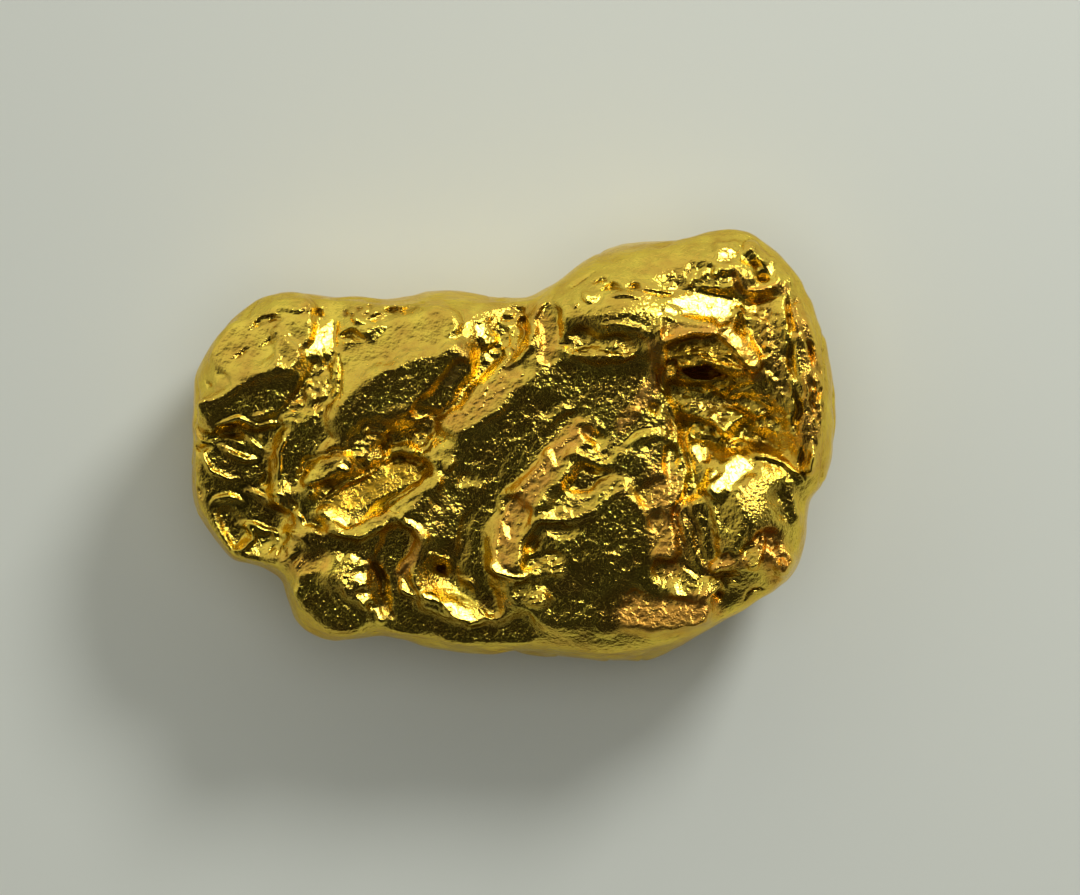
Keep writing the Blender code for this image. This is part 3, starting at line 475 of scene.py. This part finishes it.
        ([(-2.30, -1.70), (-2.16, -1.92), (-1.98, -2.12)], 0.05, 0.03),
        ([(-2.16, -1.62), (-2.02, -1.84), (-1.88, -2.06)], 0.05, 0.03),
    ],
}

# Pebbly gold, like tiny grains pressed together: path, half width, grain, rise
pebblesByPlace = {
    "valley beside the left lobe": ([(-2.26, 1.00), (-2.40, 0.72), (-2.56, 0.42)], 0.27, 0.11, 0.050),
    "top edge": ([(-2.00, 1.64), (-1.65, 1.68), (-1.20, 1.76)], 0.13, 0.10, 0.070),
    "gap to the top edge": ([(-0.10, 1.58), (-0.12, 1.30), (-0.10, 1.05)], 0.26, 0.13, 0.055),
    "specks on the middle lobe": ([(-1.50, 0.75), (-1.30, 0.95), (-1.20, 0.80)], 0.22, 0.09, 0.018),
    "under the middle lobe": ([(-1.80, 0.10), (-1.50, 0.16), (-1.00, 0.22)], 0.18, 0.10, 0.045),
    "band above the plateau": ([(0.62, 1.22), (1.00, 1.17), (1.40, 1.17)], 0.15, 0.09, 0.030),
    "highest knob": ([(2.45, 2.36), (2.78, 2.40)], 0.15, 0.08, 0.022),
    "knob at the upper right": ([(1.90, 1.95), (2.35, 2.14), (2.75, 1.95)], 0.22, 0.08, 0.022),
    "basin": ([(2.80, 0.40), (3.20, 0.36), (3.40, 0.12)], 0.34, 0.14, 0.045),
    "bright grains in the basin": ([(2.20, 0.58), (2.42, 0.36), (2.52, 0.10)], 0.26, 0.10, 0.026),
    "cavity": ([(2.06, 1.08), (2.40, 1.08), (2.74, 0.96)], 0.24, 0.13, 0.030),
    "beside the cavity": ([(3.20, 1.55), (3.28, 1.10), (3.30, 0.70)], 0.26, 0.10, 0.045),
    "right hand rim": ([(3.50, 1.70), (3.68, 1.20), (3.76, 0.60), (3.72, 0.15)], 0.16, 0.11, 0.045),
    "knob": ([(-1.46, 0.02), (-1.10, 0.00)], 0.15, 0.07, 0.030),
    "under the knob": ([(-1.52, -0.18), (-1.20, -0.18), (-0.98, -0.16)], 0.05, 0.07, 0.040),
    "lower ridge": ([(-1.30, -1.90), (-0.90, -2.06), (-0.60, -2.26)], 0.14, 0.06, 0.020),
    "curved ridge": ([(0.60, -0.05), (0.20, -0.50), (0.00, -1.00), (-0.05, -1.40)], 0.20, 0.07, 0.014),
    "band beside the middle lobe": ([(0.02, 0.86), (-0.32, 0.60), (-0.66, 0.34)], 0.16, 0.08, 0.020),
    "below the curved ridge": ([(0.15, -1.52), (0.55, -1.44)], 0.17, 0.09, 0.040),
    "upper branch": ([(0.76, -0.08), (1.00, -0.13), (1.30, -0.10)], 0.12, 0.08, 0.030),
    "lower end of the curved ridge": ([(-0.06, -1.80), (0.24, -1.94)], 0.16, 0.07, 0.030),
    "beside the crevice": ([(1.86, 0.20), (2.02, -0.20), (2.02, -0.60)], 0.16, 0.08, 0.030),
    "copper band": ([(1.84, -0.70), (1.90, -1.30)], 0.30, 0.09, 0.020),
    "front edge": ([(1.50, -2.08), (1.90, -2.12), (2.28, -2.04)], 0.26, 0.08, 0.012),
    "sparkling patch": ([(1.92, -1.56), (2.10, -1.74), (2.44, -1.76)], 0.22, 0.09, 0.030),
    "specks on the plateau": ([(1.30, -1.40), (1.52, -1.46)], 0.14, 0.08, 0.035),
    "plateau": ([(0.70, -1.40), (1.25, -1.15), (1.50, -0.60)], 0.50, 0.08, 0.015),
    "below the plateau": ([(0.60, -1.95), (1.30, -1.85)], 0.40, 0.08, 0.015),
    "dark middle": ([(1.30, 0.60), (0.60, 0.55), (0.00, 0.00), (-0.50, -0.70)], 0.45, 0.08, 0.015),
    "lower right lobe": ([(2.50, -0.85), (2.80, -1.10), (2.70, -1.35)], 0.34, 0.10, 0.018),
    "rosy knob": ([(3.14, -1.24), (3.34, -1.50)], 0.20, 0.11, 0.055),
    "crumpled end": ([(-2.95, -0.05), (-2.92, -0.45), (-2.70, -0.90), (-2.80, -1.20)], 0.22, 0.11, 0.030),
}


def smoothPath(points, steps=8):
    # a curve through the points, as short straight pieces
    knots = np.array(points, float)
    if len(knots) == 2:
        return knots
    at = np.arange(len(knots) - 1)

    def knot(offset):
        return knots[np.clip(at + offset, 0, len(knots) - 1)][:, None, :]

    before, start, end, after = knot(-1), knot(0), knot(1), knot(2)
    t = np.linspace(0, 1, steps, endpoint=False)[None, :, None]
    curve = start + 0.5 * t * (end - before + t * (2 * before - 5 * start + 4 * end - after
                                                   + t * (3 * (start - end) + after - before)))
    return np.vstack([curve.reshape(-1, 2), knots[-1]])


def nearPath(plan, path):
    # for each point: offset and distance from the path, whether on its left, and how far along, from 0 to 1
    offset = np.zeros((len(plan), 2))
    nearest = np.full(len(plan), np.inf)
    left = np.zeros(len(plan), bool)
    along = np.zeros(len(plan))
    lengths = np.hypot(*(path[1:] - path[:-1]).T)
    travelled = 0
    for start, span, length in zip(path[:-1], path[1:] - path[:-1], lengths):
        share = np.clip((plan - start) @ span / (length * length), 0, 1)
        gap = plan - start - share[:, None] * span
        distance = np.hypot(gap[:, 0], gap[:, 1])
        closer = distance < nearest
        offset[closer] = gap[closer]
        nearest[closer] = distance[closer]
        left[closer] = (span[0] * gap[:, 1] - span[1] * gap[:, 0])[closer] > 0
        along[closer] = (travelled + share[closer] * length) / lengths.sum()
        travelled += length
    return offset, nearest, left, along


def rounded(reach, flat=0.0):
    t = np.clip((reach - flat) / (1 - flat), 0, 1)
    return (1 - t * t) ** 2


def within(plan, points, reach):
    low = np.min(points, axis=0) - reach
    high = np.max(points, axis=0) + reach
    return np.nonzero(np.all((plan > low) & (plan < high), axis=1))[0]


def swellingRelief(plan, shapes):
    relief = np.zeros(len(plan))
    for centre, halfLength, halfWidth, turn, rise, flat in shapes:
        close = within(plan, [centre], max(halfLength, halfWidth))
        cosine, sine = math.cos(math.radians(turn)), math.sin(math.radians(turn))
        offset = plan[close] - centre
        along = (offset[:, 0] * cosine + offset[:, 1] * sine) / halfLength
        across = (offset[:, 1] * cosine - offset[:, 0] * sine) / halfWidth
        relief[close] += rise * rounded(np.hypot(along, across), flat)
    return relief


def foldRelief(plan, folds):
    relief = np.zeros(len(plan))
    for points, halfWidth, rise in folds:
        leftWidth, rightWidth = halfWidth if isinstance(halfWidth, tuple) else (halfWidth, halfWidth)
        close = within(plan, points, max(leftWidth, rightWidth))
        distance, left, along = nearPath(plan[close], smoothPath(points))[1:]
        ends = np.sqrt(np.sin(math.pi * np.clip(along, strokes["foldEnd"], 1 - strokes["foldEnd"])))
        relief[close] += rise * ends * rounded(distance / (ends * np.where(left, leftWidth, rightWidth)))
    return relief


def cellsAt(points, spacing):
    # how far each point is from the middle of its cell, in spacings, and the cell's own number from -1 to 1
    cells = [noise.voronoi(Vector(point) / spacing) for point in points]
    gaps = np.array([distances[0] for distances, middles in cells])
    numbers = np.array([noise.cell(middles[0] * strokes["cellKey"]) for distances, middles in cells])
    return gaps, numbers


def pebbleRelief(plan, pebbles):
    # domes and dents that touch, one for each cell, fading out at the sides of the patch
    relief = np.zeros(len(plan))
    for points, halfWidth, grain, rise in pebbles:
        close = within(plan, points, halfWidth)
        distance = nearPath(plan[close], smoothPath(points))[1]
        patch = rounded(distance / halfWidth, strokes["pebbleCore"])
        gaps, numbers = cellsAt([(x, y, 0.0) for x, y in plan[close].tolist()], grain)
        sizes = strokes["pebbleMean"] + strokes["pebbleSpread"] * numbers
        domes = 1 - np.clip(gaps / strokes["pebbleDome"], 0, 1) ** 2 - strokes["pebbleSink"]
        relief[close] += rise * sizes * patch * domes
    return relief


def slopePatches(plan, wavering, heights, share, slopes):
    # strips of the surface that are turned to a given slope, at the height that they already have
    for points, halfWidth, tilt, heading, lift in slopes:
        close = within(wavering, points, halfWidth)
        path = smoothPath(points)
        offset, distance, left, along = nearPath(wavering[close], path)
        # a flat or short patch is one plane, and a long strip follows the surface along its path
        gentle = tilt < strokes["planeTilt"]
        onePlane = gentle or np.hypot(*(path[-1] - path[0])) < strokes["planeLength"] * halfWidth
        if onePlane:
            offset = plan[close] - path.mean(axis=0)
        weight = share[close] * rounded(distance / halfWidth) + 1e-9  # the fit fails if all weights are 0
        level = np.polyfit(along, heights[close], 0 if onePlane else 1, w=weight)
        facing = np.array([math.cos(math.radians(heading)), math.sin(math.radians(heading))])
        wanted = np.polyval(level, along) + lift - math.tan(math.radians(tilt)) * (offset @ facing)
        blend = rounded(distance / halfWidth, strokes["planeCore"] if gentle else strokes["stripCore"])
        heights[close] += blend * (wanted - heights[close])
    return heights


def uneven(plan, waver, reach):
    # the same points shifted a little, so that no stroke has a drawn look
    shifts = [noise.noise_vector(Vector((x, y, 0.0)) / waver)[:2] for x, y in plan.tolist()]
    return plan + reach * np.array(shifts)


def flattened(shapesByPlace):
    return [shape for shapes in shapesByPlace.values() for shape in shapes]


def upperHeights(plan, heights, share):
    fine = uneven(plan, nuggetBody["fineWaver"], nuggetBody["fineReach"])
    broad = uneven(fine, nuggetBody["broadWaver"], nuggetBody["broadReach"])
    heights = slopePatches(plan, broad, heights, share, flattened(slopesByPlace))
    return heights + foldRelief(fine, flattened(foldsByPlace)) + pebbleRelief(fine, pebblesByPlace.values())


def readPoints(mesh):
    points = np.empty(len(mesh.vertices) * 3, np.float32)
    mesh.vertices.foreach_get("co", points)
    return points.reshape(-1, 3).astype(float)


def writePoints(mesh, points):
    mesh.vertices.foreach_set("co", points.astype(np.float32).ravel())
    mesh.update()


def readNormals(mesh):
    normals = np.empty(len(mesh.vertices) * 3, np.float32)
    mesh.vertices.foreach_get("normal", normals)
    return normals.reshape(-1, 3).astype(float)


def bakeModifiers(thing):
    graph = bpy.context.evaluated_depsgraph_get()
    graph.update()
    made = bpy.data.meshes.new_from_object(thing.evaluated_get(graph), depsgraph=graph)
    old = thing.data
    thing.modifiers.clear()
    thing.data = made
    bpy.data.meshes.remove(old)


def soften(thing, name, passes):
    smooth = thing.modifiers.new(name, "SMOOTH")
    smooth.factor = nuggetBody["softening"]
    smooth.iterations = passes


def fineBody(node):
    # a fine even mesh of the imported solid, in millimetres
    mesh = node.data.copy()
    mesh.name = "nativeGoldNugget"
    mesh.materials.clear()
    form = bmesh.new()
    form.from_mesh(mesh)
    bmesh.ops.scale(form, vec=(1 / mm, 1 / mm, 1 / mm), verts=form.verts)
    bmesh.ops.remove_doubles(form, verts=form.verts, dist=nuggetBody["weldDistance"])
    form.to_mesh(mesh)
    form.free()
    piece = bpy.data.objects.new("native_gold_nugget", mesh)
    bpy.context.scene.collection.objects.link(piece)
    remesh = piece.modifiers.new("evenMesh", "REMESH")
    remesh.mode = "VOXEL"
    remesh.voxel_size = nuggetBody["spacing"]
    soften(piece, "softFacets", nuggetBody["softPasses"])
    bakeModifiers(piece)
    return piece


def upwardShare(normals):
    start, full = nuggetBody["upwardFrom"], nuggetBody["upwardFull"]
    share = np.clip((normals[:, 2] - start) / (full - start), 0, 1)
    return share * share * (3 - 2 * share)


def carveRelief(piece):
    points = readPoints(piece.data)
    above = np.nonzero(points[:, 2] > nuggetBody["swellingsFrom"])[0]
    points[above, 2] += swellingRelief(points[above, :2], swellings.values())
    writePoints(piece.data, points)
    share = upwardShare(readNormals(piece.data))
    upper = np.nonzero(share > 0)[0]
    heights = upperHeights(points[upper, :2], points[upper, 2], share[upper])
    points[upper, 2] += share[upper] * (heights - points[upper, 2])
    writePoints(piece.data, points)
    soften(piece, "softEdges", nuggetBody["edgePasses"])
    bakeModifiers(piece)


def noiseAt(points, size, place):
    shift = Vector((place, 0, 0))
    return np.array([noise.noise(Vector(point) / size + shift) for point in points.tolist()])


def wallHollows(points):
    # how far in the walls and the underside go at each point: dents that swell too, then creases and pits
    wall = wallRelief
    dents = noiseAt(points, wall["dentSize"], wall["dentPlace"]) * wall["dentDepth"]
    ripples = noiseAt(points, wall["rippleSize"], wall["ripplePlace"]) * wall["rippleDepth"]
    seams = 1 - np.abs(noiseAt(points, wall["creaseSize"], wall["creasePlace"])) / wall["creaseWidth"]
    patches = noiseAt(points, wall["dentSize"], wall["patchPlace"])
    patchy = np.clip(wall["patchLevel"] + wall["patchContrast"] * patches, 0, 1)
    creases = np.clip(seams, 0, 1) ** wall["creaseSharpness"] * patchy * wall["creaseDepth"]
    gaps, numbers = cellsAt(points.tolist(), wall["pitSpacing"])
    pits = rounded(gaps / (wall["pitWidth"] + wall["pitWidthSpread"] * numbers))
    return dents + ripples, creases + pits * (numbers > wall["pitChance"]) * wall["pitDepth"]


def carveWalls(piece):
    # from the shoulders down, and least on the widest line, so that the outline stays
    points = readPoints(piece.data)
    normals = readNormals(piece.data)
    clearance, belt, sharpBelt = (wallRelief[key] for key in ("groundClearance", "beltShare", "sharpShare"))
    sides = np.nonzero((upwardShare(normals) < 1) & (points[:, 2] > clearance))[0]
    low = np.clip(-normals[sides, 2] / wallRelief["undersideTurn"], 0, 1)
    ground = np.clip((points[sides, 2] - clearance) / clearance, 0, 1)
    share = (1 - upwardShare(normals[sides])) * (belt + (1 - belt) * low) * ground
    sharpness = (sharpBelt + (1 - sharpBelt) * low) * ground * (share > 0)
    broad, sharp = wallHollows(points[sides])
    points[sides] -= normals[sides] * (share * broad + sharpness * sharp)[:, None]
    writePoints(piece.data, points)


def thinUnderside(piece):
    # the fine mesh is only kept where the relief is
    upward = readNormals(piece.data)[:, 2]
    underside = upward < nuggetBody["undersideBelow"]
    sides = ~underside & (upward < nuggetBody["sidesBelow"])
    group = piece.vertex_groups.new(name="plainSides")
    group.add(np.nonzero(underside)[0].tolist(), 1.0, "REPLACE")
    group.add(np.nonzero(sides)[0].tolist(), nuggetBody["sideThinning"], "REPLACE")
    thin = piece.modifiers.new("thinUnderside", "DECIMATE")
    thin.vertex_group = "plainSides"
    thin.vertex_group_factor = nuggetBody["thinningBias"]
    thin.ratio = nuggetBody["trianglesKept"] / (2 * len(piece.data.polygons))
    bakeModifiers(piece)


# Water-worn native gold: a bright warm metal, burnished on the lobes, finely hammered all over, and duller
# where it is stained coppery or painted with shade, with painted shade and painted gold-on-gold reflection,
# darker and warmer, in its creases, gaps and hollows. The scales are repeats for each mm.
goldLook = {
    "paleTint": "FADE5A",
    "deepTint": "DDB44C",
    "edgeTint": "FFF1C4",    # gold stays yellowish edge-on
    # coppery is the gold's own tint; the other two are painted shade for its creases and hollows
    "stainsAndShade": {"coppery": "F0B24C", "brownShade": "B4903C", "amberShade": "D8A82A"},
    "tintScale": 3.0,        # blotches of about 0.3 mm
    "tintFrom": 0.35,
    "tintTo": 0.68,
    "stainAndShadeScale": 9.0,       # stains and painted shade break up every 0.1 mm
    "stainAndShadeFrom": 0.3,
    "stainAndShadeTo": 0.6,
    "leastStainAndShade": 0.4,
    "roughness": 0.16,
    "stainAndShadeRoughness": 0.14,  # added where the gold is stained or painted with shade
    "grainScale": 20.0,      # drawn at 0.05 mm, because finer grain wouldn't show
    "burnishedGrain": 0.35,  # share of the grain that is left where the gold is burnished
    "dimpleScale": 8.0,      # hammered dimples of about 0.12 mm
    "bumpDepth": 0.020,      # mm
}


def nativeGold():
    look = goldLook
    material = bpy.data.materials.new("waterWornNativeGold")
    material.use_nodes = True
    tree = material.node_tree
    shader = tree.nodes["Principled BSDF"]
    shader.inputs["Metallic"].default_value = 1.0
    shader.inputs["Specular Tint"].default_value = linearColour(look["edgeTint"])
    place = addNode(tree, "ShaderNodeTexCoord").outputs["Object"]
    perMm = addNode(tree, "ShaderNodeMapping", inputs={"Vector": place, "Scale": (1 / mm,) * 3}).outputs[0]
    tint = addNode(tree, "ShaderNodeTexNoise",
                   inputs={"Vector": perMm, "Scale": look["tintScale"], "Detail": 6.0, "Roughness": 0.6})
    tint = addNode(tree, "ShaderNodeMapRange", inputs={
        "Value": tint.outputs["Fac"], "From Min": look["tintFrom"], "From Max": look["tintTo"]})
    tint = addNode(tree, "ShaderNodeMix", {"data_type": "RGBA"}, {
        0: tint.outputs[0], 6: linearColour(look["paleTint"]), 7: linearColour(look["deepTint"])}).outputs[2]
    blotches = addNode(tree, "ShaderNodeTexNoise",
                       inputs={"Vector": perMm, "Scale": look["stainAndShadeScale"], "Detail": 3.0}).outputs["Fac"]
    roughness = look["roughness"]
    for mask, colour in look["stainsAndShade"].items():
        amount = addNode(tree, "ShaderNodeAttribute", {"attribute_name": mask}).outputs["Fac"]
        broken = addNode(tree, "ShaderNodeMapRange", inputs={
            "Value": blotches, "From Min": look["stainAndShadeFrom"], "From Max": look["stainAndShadeTo"],
            "To Min": look["leastStainAndShade"], "To Max": 1.0}).outputs[0]
        amount = addNode(tree, "ShaderNodeMath", {"operation": "MULTIPLY", "use_clamp": True},
                         {0: amount, 1: broken}).outputs[0]
        tint = addNode(tree, "ShaderNodeMix", {"data_type": "RGBA"},
                       {0: amount, 6: tint, 7: linearColour(colour)}).outputs[2]
        roughness = addNode(tree, "ShaderNodeMath", {"operation": "MULTIPLY_ADD"},
                            {0: amount, 1: look["stainAndShadeRoughness"], 2: roughness}).outputs[0]
    tree.links.new(tint, shader.inputs["Base Color"])
    grain = addNode(tree, "ShaderNodeTexNoise", inputs={
        "Vector": perMm, "Scale": look["grainScale"], "Detail": 3.0, "Roughness": 0.6}).outputs["Fac"]
    dimples = addNode(tree, "ShaderNodeTexNoise", inputs={
        "Vector": perMm, "Scale": look["dimpleScale"], "Detail": 2.0}).outputs["Fac"]
    pitted = addNode(tree, "ShaderNodeAttribute", {"attribute_name": "pitted"}).outputs["Fac"]
    depth = addNode(tree, "ShaderNodeMapRange", inputs={
        "Value": pitted, "To Min": look["burnishedGrain"], "To Max": 1.0}).outputs[0]
    height = addNode(tree, "ShaderNodeMath", {"operation": "MULTIPLY"}, {0: grain, 1: depth}).outputs[0]
    height = addNode(tree, "ShaderNodeMath", {"operation": "ADD"}, {0: height, 1: dimples}).outputs[0]
    bump = addNode(tree, "ShaderNodeBump",
                   inputs={"Height": height, "Strength": 1.0, "Distance": look["bumpDepth"] * mm})
    tree.links.new(bump.outputs["Normal"], shader.inputs["Normal"])
    tree.links.new(roughness, shader.inputs["Roughness"])
    return material


# Where the gold is burnished, where it is stained coppery, and where shade is painted in its creases and
# hollows. Upward means a normal's height, from 0 to 1.
surface = {
    "burnishedHeading": 115,  # slopes that face this way are burnished
    "burnishedFrom": 0.22,    # how squarely they face it, and over what range it sets in
    "burnishedRange": 0.10,
    "burnishedUpward": 0.5,
    "burnishedUpwardRange": 0.2,
    "ridgeWidth": 1.3,        # ridges at the crumpled end are burnished this many half widths wide
    "creaseFullShade": 0.16,      # depth at which a crease gets its full painted shade
    "gapFullShade": 0.04,         # and a gap between pebbles
    "tintAndShadeUpward": 0.3,
    "tintAndShadeUpwardRange": 0.3,
}


def addMask(mesh, name, values):
    mesh.attributes.new(name, "FLOAT", "POINT").data.foreach_set("value", values.astype(np.float32))


def patchMask(plan, patches):
    mask = np.zeros(len(plan))
    for points, halfWidth, strength in patches:
        close = within(plan, points, halfWidth)
        distance = nearPath(plan[close], smoothPath(points))[1]
        mask[close] = np.maximum(mask[close], strength * rounded(distance / halfWidth, strokes["tintCore"]))
    return mask


def paintMasks(piece):
    # the back slopes of the lobes are burnished, and the rest is finely pitted
    normals = readNormals(piece.data)
    points = readPoints(piece.data)
    turn = math.radians(surface["burnishedHeading"])
    squarely = normals[:, :2] @ np.array([math.cos(turn), math.sin(turn)])
    upward = (normals[:, 2] - surface["burnishedUpward"]) / surface["burnishedUpwardRange"]
    burnished = (squarely - surface["burnishedFrom"]) / surface["burnishedRange"]
    burnished = np.clip(burnished, 0, 1) * np.clip(upward, 0, 1)
    upper = np.nonzero(normals[:, 2] > 0)[0]
    plan = uneven(points[upper, :2], nuggetBody["fineWaver"], nuggetBody["fineReach"])
    smooth = [glint[:2] + (1.0,) for glint in slopesByPlace["glints, turned towards the light"]]
    for path, halfWidth, rise in foldsByPlace["crumpled end"]:
        if rise > 0:
            smooth.append((path, np.max(halfWidth) * surface["ridgeWidth"], 1.0))
    burnished[upper] = np.maximum(burnished[upper], patchMask(plan, smooth))
    addMask(piece.data, "pitted", 1 - burnished)
    # Painted shade: the deeper a crease or a gap between pebbles, the darker and warmer the gold is painted
    creases = -foldRelief(plan, [fold for fold in flattened(foldsByPlace) if fold[2] < 0])
    gaps = -pebbleRelief(plan, pebblesByPlace.values())
    brownShade = np.maximum(creases / surface["creaseFullShade"], gaps / surface["gapFullShade"])
    # coppery is the gold's own tint; the other two masks are painted shade and painted reflection
    masks = {
        "coppery": patchMask(plan, copperyPatches.values()),
        "amberShade": patchMask(plan, amberShadePatches.values()),
        "brownShade": np.maximum(patchMask(plan, brownShadePatches.values()), brownShade),
    }
    top = np.clip((normals[upper, 2] - surface["tintAndShadeUpward"]) / surface["tintAndShadeUpwardRange"], 0, 1)
    for name, mask in masks.items():
        amounts = np.zeros(len(points))
        amounts[upper] = top * mask
        addMask(piece.data, name, amounts)


noise.seed_set(nuggetBody["waverSeed"])
print("nugget: fine body")
nugget = fineBody(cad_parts["nugget"])
print("nugget: relief on", len(nugget.data.vertices), "points")
carveRelief(nugget)
print("nugget: walls")
carveWalls(nugget)
thinUnderside(nugget)
print("nugget: tints")
paintMasks(nugget)
nugget.data.transform(Matrix.Scale(mm, 4))
nugget.data.shade_smooth()
nugget.data.materials.append(nativeGold())
nugget.data.calc_loop_triangles()
print("nugget:", len(nugget.data.loop_triangles), "triangles")
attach(nugget, "root")
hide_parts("nugget")

studio = {
    "floorSize": 0.6,
    "floorColour": "DEE2D8",
    "floorRoughness": 0.95,
    "keyDirection": (0.45, 0.62, 0.64),
    "keyDistance": 0.060,
    "keyRadius": 0.0090,
    "keyPower": 0.0170,
    "fillPower": 0.0148,
    "fillHeight": 0.08,
    "fillRadius": 0.03,
    "backdrop": "C4C8BE",
}

# The room as the gold reflects it: pale walls, brightest on one side, under a dark ceiling
room = {
    "brightSide": (-0.34, 0.94, 0.0),
    "wallGlow": 0.27,
    "wallSwing": 0.46,
    "leastGlow": 0.03,
    "ceilingGlow": 0.009,
    "ceilingFrom": 56,       # degrees from straight up
    "ceilingFull": 11,
    "wallColour": "FFFDF1",
}


def makeFloor():
    form = bmesh.new()
    bmesh.ops.create_grid(form, x_segments=1, y_segments=1, size=studio["floorSize"] / 2)
    mesh = bpy.data.meshes.new("floor")
    form.to_mesh(mesh)
    form.free()
    floor = bpy.data.objects.new("floor", mesh)
    bpy.context.scene.collection.objects.link(floor)
    # pale uncoated card, which shows soft shadows and no gloss
    paper = bpy.data.materials.new("mattPaleCard")
    paper.use_nodes = True
    shader = paper.node_tree.nodes["Principled BSDF"]
    shader.inputs["Base Color"].default_value = linearColour(studio["floorColour"])
    shader.inputs["Roughness"].default_value = studio["floorRoughness"]
    mesh.materials.append(paper)


def makeWorld():
    world = bpy.data.worlds.new("softStudio")
    bpy.context.scene.world = world
    world.use_nodes = True
    tree = world.node_tree
    tree.nodes.clear()
    direction = addNode(tree, "ShaderNodeTexCoord").outputs["Generated"]
    level = addNode(tree, "ShaderNodeVectorMath", {"operation": "MULTIPLY"},
                    {0: direction, 1: (1, 1, 0)}).outputs[0]
    heading = addNode(tree, "ShaderNodeVectorMath", {"operation": "NORMALIZE"}, {0: level}).outputs[0]
    facing = addNode(tree, "ShaderNodeVectorMath", {"operation": "DOT_PRODUCT"},
                     {0: heading, 1: room["brightSide"]}).outputs["Value"]
    wall = addNode(tree, "ShaderNodeMath", {"operation": "MULTIPLY_ADD"},
                   {0: facing, 1: room["wallSwing"], 2: room["wallGlow"]}).outputs[0]
    wall = addNode(tree, "ShaderNodeMath", {"operation": "MAXIMUM"},
                   {0: wall, 1: room["leastGlow"]}).outputs[0]
    height = addNode(tree, "ShaderNodeSeparateXYZ", inputs={0: direction}).outputs["Z"]
    low = addNode(tree, "ShaderNodeMapRange", {"interpolation_type": "SMOOTHSTEP"},
                  {"Value": height, "From Min": math.cos(math.radians(room["ceilingFull"])),
                   "From Max": math.cos(math.radians(room["ceilingFrom"]))}).outputs[0]
    glow = addNode(tree, "ShaderNodeMath", {"operation": "MULTIPLY_ADD"},
                   {0: wall, 1: low, 2: room["ceilingGlow"]}).outputs[0]
    lit = addNode(tree, "ShaderNodeVectorMath", {"operation": "SCALE"},
                  {0: linearColour(room["wallColour"])[:3], "Scale": glow}).outputs[0]
    seen = addNode(tree, "ShaderNodeLightPath").outputs["Is Camera Ray"]
    shown = addNode(tree, "ShaderNodeMix", {"data_type": "RGBA"},
                    {0: seen, 6: lit, 7: linearColour(studio["backdrop"])}).outputs[2]
    background = addNode(tree, "ShaderNodeBackground", inputs={"Color": shown, "Strength": 1.0}).outputs[0]
    addNode(tree, "ShaderNodeOutputWorld", inputs={"Surface": background})


def makeLight(name, towards, distance, radius, power, shines=True):
    data = bpy.data.lights.new(name, "AREA")
    data.shape = "DISK"
    data.size = 2 * radius
    data.energy = power
    light = bpy.data.objects.new(name, data)
    aim = Vector(towards).normalized()
    light.location = aim * distance
    light.rotation_euler = aim.to_track_quat("Z", "Y").to_euler()
    light.visible_glossy = shines
    bpy.context.scene.collection.objects.link(light)


cameraSetup = {
    "fieldWidth": 13.5,       # mm across the picture at the nugget's widest line
    "centre": (0.344, -0.025),
    "distance": 100.0,
    "beltHeight": 1.4,        # of the widest line
    "sensorWidth": 36.0,
    "nearest": 0.001,         # m
    "farthest": 10.0,
}


def makeCamera():
    data = bpy.data.cameras.new("cameraOverhead")
    data.sensor_width = cameraSetup["sensorWidth"]
    data.lens = data.sensor_width * cameraSetup["distance"] / cameraSetup["fieldWidth"]
    data.clip_start = cameraSetup["nearest"]
    data.clip_end = cameraSetup["farthest"]
    camera = bpy.data.objects.new("cameraOverhead", data)
    x, y = cameraSetup["centre"]
    camera.location = Vector((x, y, cameraSetup["distance"] + cameraSetup["beltHeight"])) * mm
    bpy.context.scene.collection.objects.link(camera)
    bpy.context.scene.camera = camera


print("studio")
makeFloor()
makeWorld()
makeLight("keyLight", studio["keyDirection"], studio["keyDistance"], studio["keyRadius"], studio["keyPower"])
makeLight("floorFill", (0.0, 0.0, 1.0), studio["fillHeight"], studio["fillRadius"], studio["fillPower"],
          shines=False)
makeCamera()
bpy.context.scene.view_settings.view_transform = "Standard"
